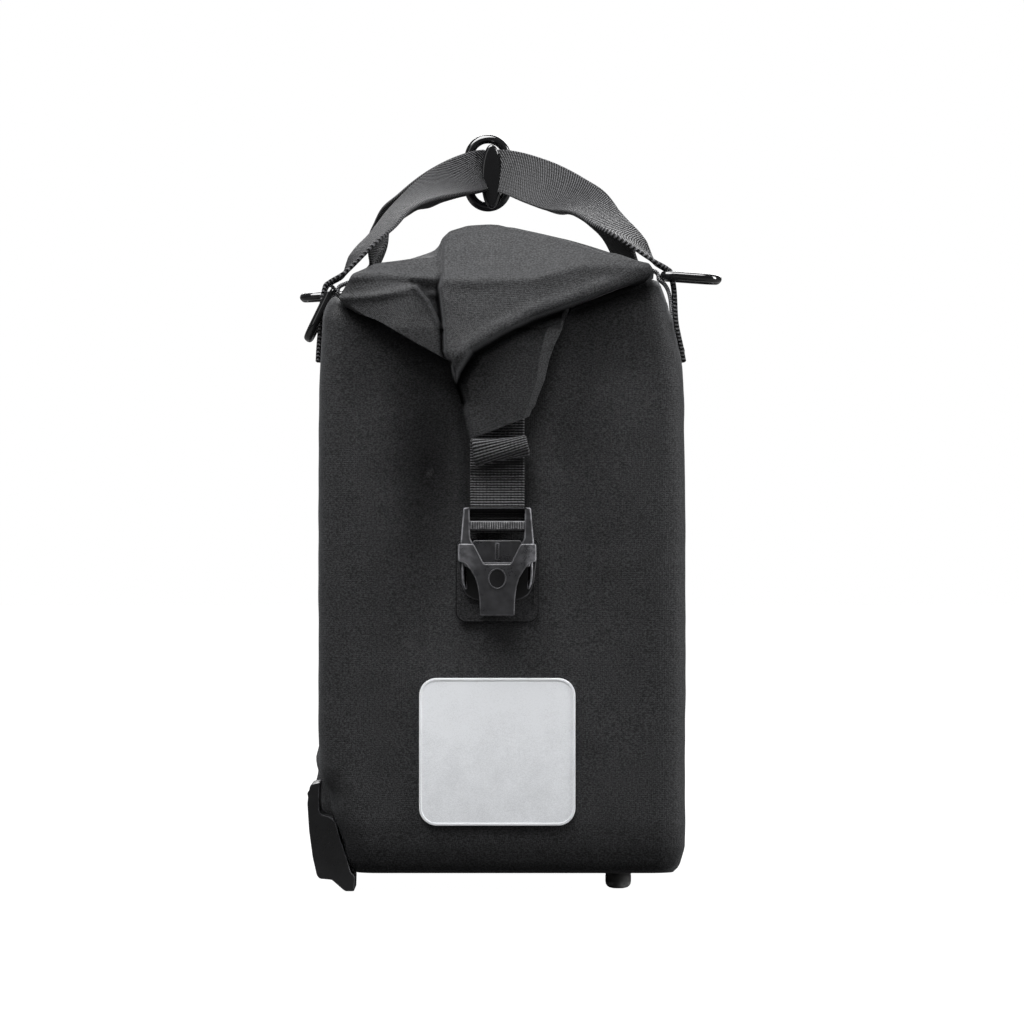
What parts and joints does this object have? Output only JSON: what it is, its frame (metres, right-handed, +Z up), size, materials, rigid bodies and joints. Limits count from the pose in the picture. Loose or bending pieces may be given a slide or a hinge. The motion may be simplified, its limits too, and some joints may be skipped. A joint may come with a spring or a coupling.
{
  "type": "pannier briefcase",
  "caption": "Roll-top cloth briefcase for a bicycle rack: rolled mouth folded over both ends and buckled down, linked webbing handles, wire rings, lower rack hooks.",
  "frame": {"origin": "on the floor, in the middle of the box that bounds the part seen from above", "axes": "+Y along the bag's length, +X towards its front panel, away from the rack, +Z up"},
  "size_m": [0.2062, 0.4362, 0.361],
  "materials": {
    "cloth": "matte black woven cloth",
    "webbing": "ribbed black webbing",
    "pale_webbing": "pale grey tape",
    "buckle_plastic": "satin dark grey",
    "hook_plastic": "satin black",
    "ring_gloss": "glossy black coating",
    "rubber": "matte black",
    "reflective": "silver-grey retroreflective film"
  },
  "bodies": {
    "root": {"bag_body": "cloth", "roll_closure": "cloth", "handle_rear": "webbing", "handle_front": "webbing", "handle_link_ring": "ring_gloss", "anchor_tab_rear_near": "pale_webbing", "anchor_tab_front_near": "pale_webbing", "anchor_tab_rear_far": "pale_webbing", "anchor_tab_front_far": "pale_webbing", "carry_ring_rear_near": "ring_gloss", "carry_ring_front_near": "ring_gloss", "carry_ring_rear_far": "ring_gloss", "carry_ring_front_far": "ring_gloss", "side_strap_near": "webbing", "side_strap_far": "webbing", "buckle_plug_near": "buckle_plastic", "buckle_plug_far": "buckle_plastic", "buckle_socket_near": "buckle_plastic", "buckle_socket_far": "buckle_plastic", "buckle_patch_near": "cloth", "buckle_patch_far": "cloth", "reflector_near": "reflective", "reflector_far": "reflective", "rack_hook_near": "hook_plastic", "rack_hook_far": "hook_plastic", "foot_near": "rubber", "foot_far": "rubber"}
  },
  "joints": []
}
